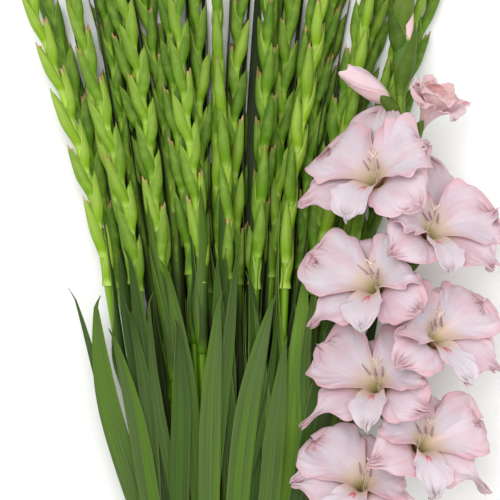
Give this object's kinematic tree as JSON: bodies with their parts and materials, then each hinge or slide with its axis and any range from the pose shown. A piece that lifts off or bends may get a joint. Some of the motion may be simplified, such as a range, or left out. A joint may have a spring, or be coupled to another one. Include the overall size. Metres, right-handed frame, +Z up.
{
  "type": "bunch of gladioli",
  "caption": "Cut bunch of gladioli laid on its side: green stems in tight bud fanned out from a rubber band, sword leaves, and one stem of open pale pink florets.",
  "frame": {"origin": "under the middle of the bunch's box, on the surface that it lies on", "axes": "+Y along the stems to their tips, +Z up from the surface, +X to the side of the stem in flower"},
  "size_m": [0.504, 0.915, 0.1649],
  "materials": {
    "green_stem": "fresh green stem and bud bracts with a grey-green bloom",
    "leaf": "sword leaf with lengthwise ribs, satin",
    "petal": "pale pink petal, thin and silky, with fine veins",
    "rubber_band": "plain tan rubber, matt"
  },
  "bodies": {
    "root": {"green_stem_1_1": "green_stem", "green_stem_1_2": "green_stem", "green_stem_1_3": "green_stem", "green_stem_1_4": "green_stem", "green_stem_1_5": "green_stem", "green_stem_1_6": "green_stem", "green_stem_1_7": "green_stem", "green_stem_1_8": "green_stem", "green_stem_2_1": "green_stem", "green_stem_2_2": "green_stem", "green_stem_2_3": "green_stem", "green_stem_2_4": "green_stem", "green_stem_2_5": "green_stem", "green_stem_2_6": "green_stem", "green_stem_2_7": "green_stem", "green_stem_2_8": "green_stem", "green_stem_2_9": "green_stem", "green_stem_3_1": "green_stem", "green_stem_3_2": "green_stem", "green_stem_3_3": "green_stem", "green_stem_3_4": "green_stem", "green_stem_3_5": "green_stem", "green_stem_3_6": "green_stem", "green_stem_3_7": "green_stem", "green_stem_3_8": "green_stem", "green_stem_4_1": "green_stem", "green_stem_4_2": "green_stem", "green_stem_4_3": "green_stem", "green_stem_4_4": "green_stem", "green_stem_4_5": "green_stem", "green_stem_4_6": "green_stem", "green_stem_4_7": "green_stem", "green_stem_4_8": "green_stem", "green_stem_4_9": "green_stem", "leaf_1_1": "leaf", "leaf_1_2": "leaf", "leaf_1_3": "leaf", "leaf_1_4": "leaf", "leaf_1_5": "leaf", "leaf_1_6": "leaf", "leaf_1_7": "leaf", "leaf_2_1": "leaf", "leaf_2_2": "leaf", "leaf_2_3": "leaf", "leaf_2_4": "leaf", "leaf_2_5": "leaf", "leaf_2_6": "leaf", "leaf_2_7": "leaf", "flower_stem": "green_stem", "floret_1": "petal", "floret_2": "petal", "floret_3": "petal", "floret_4": "petal", "floret_5": "petal", "floret_6": "petal", "floret_7": "petal", "opening_bud": "petal", "furled_bud": "petal", "rubber_band": "rubber_band"}
  },
  "joints": []
}
